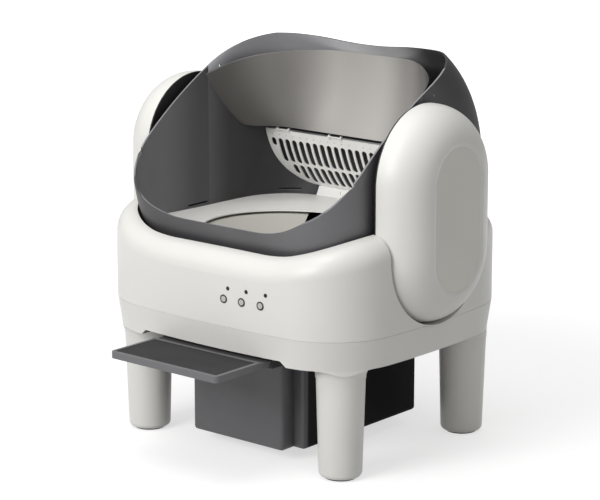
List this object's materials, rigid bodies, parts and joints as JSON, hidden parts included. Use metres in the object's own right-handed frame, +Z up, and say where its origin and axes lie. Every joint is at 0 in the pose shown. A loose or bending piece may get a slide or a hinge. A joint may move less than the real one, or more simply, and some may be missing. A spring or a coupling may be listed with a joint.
{
  "type": "self-cleaning litter box",
  "caption": "Open-top self-cleaning litter box: a dark turning drum with a sieve in a white shell on legs, round side pods, front buttons, a pull-out step and a waste drawer.",
  "frame": {"origin": "on the floor, under the middle of the overall size", "axes": "+Z up, -Y towards the front with the step, buttons and drawer grip, +X towards the pod with the motor, which is on the right seen from in front"},
  "size_m": [0.7286, 0.681, 0.738],
  "materials": {
    "body_shell": "satin injection-moulded warm white",
    "panel_grey": "fine matt warm white moulding",
    "inner_grey": "matt grey moulding",
    "rubber_feet": "matt rubber",
    "sensor_steel": "rolled sheet steel",
    "screw_steel": "zinc-plated steel",
    "bush_plastic": "acetal, as moulded",
    "button_grey": "soft matt key caps",
    "bezel_black": "dark satin plastic",
    "lamp_plastic": "dark clear light pipes, unlit",
    "board_green": "solder-mask green circuit board",
    "step_grey": "textured dark grey moulding",
    "step_mat": "textured rubber mat",
    "drawer_grey": "fine matt dark grey moulding",
    "bag_ring_grey": "matt dark grey moulding",
    "drum_grey": "matt dark grey moulding",
    "guard_grey": "fine matt dark grey moulding",
    "bed_white": "smooth off-white moulding",
    "ring_white": "satin off-white moulding",
    "sieve_white": "satin off-white moulding",
    "divider_grey": "satin mid-grey moulding",
    "gear_plastic": "acetal, as moulded",
    "motor_case": "plated motor case"
  },
  "bodies": {
    "base": {"lower_tray": "body_shell", "upper_shell": "body_shell", "front_left_leg": "body_shell", "front_right_leg": "body_shell", "rear_left_leg": "body_shell", "rear_right_leg": "body_shell", "foot_pads": "rubber_feet", "weight_sensors": "sensor_steel", "shell_screws": "screw_steel", "leg_bolts": "screw_steel", "right_pod_cover": "body_shell", "left_pod_cover": "body_shell", "right_pod_panel": "panel_grey", "left_pod_panel": "panel_grey", "right_pod_inner_cover": "inner_grey", "left_pod_inner_cover": "inner_grey", "right_axle_bush": "bush_plastic", "left_axle_bush": "bush_plastic", "button_bezels": "bezel_black", "lamp_pipes": "lamp_plastic", "button_board": "board_green", "control_board": "board_green", "power_inlet": "bezel_black", "step_guides": "drawer_grey", "drawer_rails": "inner_grey", "waste_chute": "inner_grey", "motor_bracket": "sensor_steel", "drive_motor": "motor_case"},
    "drum": {"drum_bowl": "drum_grey", "front_guard": "guard_grey", "rear_hood": "guard_grey", "litter_bed": "bed_white", "litter_ring": "ring_white", "sieve_bracket": "sieve_white", "divider_panel": "divider_grey", "sieve_rod": "screw_steel", "right_hub": "drum_grey", "left_hub": "drum_grey", "hub_screws": "screw_steel", "drum_gear": "gear_plastic", "hood_latches": "guard_grey"},
    "sieve": {"sieve_grille": "sieve_white"},
    "pinion": {"drive_pinion": "gear_plastic", "motor_shaft": "screw_steel"},
    "waste_drawer": {"drawer_bin": "drawer_grey", "bag_ring": "bag_ring_grey"},
    "step": {"step_plate": "step_grey", "step_mat": "step_mat"},
    "left_button": {"left_button": "button_grey"},
    "middle_button": {"middle_button": "button_grey"},
    "right_button": {"right_button": "button_grey"}
  },
  "joints": [
    {"name": "drum_turn", "type": "hinge", "parent": "base", "child": "drum", "pos_m": [0, 0.0695, 0.53], "axis": [-1, 0, 0], "range_deg": [-30, 180]},
    {"name": "sieve_swing", "type": "hinge", "parent": "drum", "child": "sieve", "pos_m": [0, 0.2455, 0.539], "axis": [-1, 0, 0], "range_deg": [0, 70]},
    {"name": "pinion_spin", "type": "hinge", "parent": "base", "child": "pinion", "pos_m": [0, 0.0695, 0.44], "axis": [-1, 0, 0], "range_deg": [-720, 120]},
    {"name": "drawer_slide", "type": "slide", "parent": "base", "child": "waste_drawer", "axis": [0, -1, 0], "range_m": [0, 0.25]},
    {"name": "step_slide", "type": "slide", "parent": "base", "child": "step", "axis": [0, 1, 0], "range_m": [0, 0.07]},
    {"name": "left_button_press", "type": "slide", "parent": "base", "child": "left_button", "axis": [0, 1, 0], "range_m": [0, 0.0015], "stiffness_N_per_m": 600, "springref_m": -0.0005},
    {"name": "middle_button_press", "type": "slide", "parent": "base", "child": "middle_button", "axis": [0, 1, 0], "range_m": [0, 0.0015], "stiffness_N_per_m": 600, "springref_m": -0.0005},
    {"name": "right_button_press", "type": "slide", "parent": "base", "child": "right_button", "axis": [0, 1, 0], "range_m": [0, 0.0015], "stiffness_N_per_m": 600, "springref_m": -0.0005}
  ],
  "couplings": [
    {"joint": "pinion_spin", "follows": "drum_turn", "ratio": -4}
  ]
}
